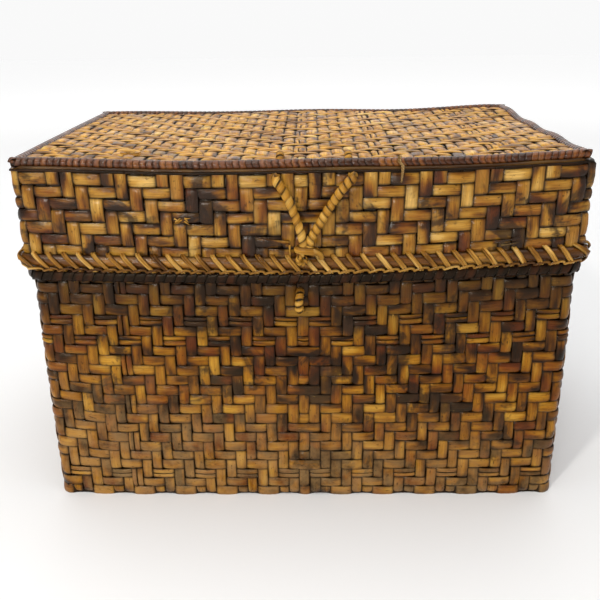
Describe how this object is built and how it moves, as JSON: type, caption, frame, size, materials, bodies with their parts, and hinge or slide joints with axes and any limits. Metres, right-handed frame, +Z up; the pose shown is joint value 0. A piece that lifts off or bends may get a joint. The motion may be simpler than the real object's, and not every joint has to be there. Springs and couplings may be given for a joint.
{
  "type": "wicker storage trunk",
  "caption": "Rectangular woven cane storage trunk with a hinged woven lid, rods and lashed hoops round its edges, and a V-shaped cane hasp over a cane staple.",
  "frame": {"origin": "centre of the flat underside", "axes": "+X along the trunk's length to the right as seen from the front, +Y towards the hinges at the back, +Z up"},
  "size_m": [0.5804, 0.4031, 0.3909],
  "materials": {
    "body_weave": "varnished split cane",
    "lid_weave": "varnished split cane",
    "lid_top": "varnished split cane",
    "red_cane": "varnished wrapped rod",
    "dark_cane": "varnished wrapped rod",
    "hoop_cane": "varnished half-round cane",
    "pale_cane": "lashing cane",
    "gold_cane": "twisted cane cord",
    "twine": "plain twine"
  },
  "bodies": {
    "body": {"body_weave": "body_weave", "body_outer_hoop": "dark_cane", "body_inner_hoop": "hoop_cane", "body_staple": "gold_cane", "hinge_eye_left": "gold_cane", "hinge_eye_right": "gold_cane"},
    "lid": {"lid_panel": "lid_top", "lid_wall": "lid_weave", "lid_under_rim_band": "dark_cane", "lid_corner_hoop": "hoop_cane", "lid_outer_hoop": "hoop_cane", "lid_inner_hoop": "hoop_cane", "lid_rim_rod_front": "red_cane", "lid_rim_rod_back": "red_cane", "lid_rim_rod_left": "red_cane", "lid_rim_rod_right": "red_cane", "lid_lashing_front": "pale_cane", "lid_lashing_back": "pale_cane", "lid_lashing_left": "pale_cane", "lid_lashing_right": "pale_cane", "hinge_bar_left": "gold_cane", "hinge_bar_right": "gold_cane", "hasp_anchor_left": "gold_cane", "hasp_anchor_right": "gold_cane", "top_tie_left": "gold_cane", "top_tie_right": "gold_cane", "rim_twine": "twine"},
    "hasp": {"hasp_leg_left": "gold_cane", "hasp_leg_right": "gold_cane", "hasp_knot": "gold_cane", "hasp_tail": "gold_cane"}
  },
  "joints": [
    {"name": "lid_hinge", "type": "hinge", "parent": "body", "child": "lid", "pos_m": [0, 0.196, 0.27], "axis": [-1, 0, 0], "range_deg": [0, 110]},
    {"name": "hasp_swing", "type": "hinge", "parent": "lid", "child": "hasp", "pos_m": [0, -0.1905, 0.373], "axis": [-1, 0, 0], "range_deg": [0, 100]}
  ]
}
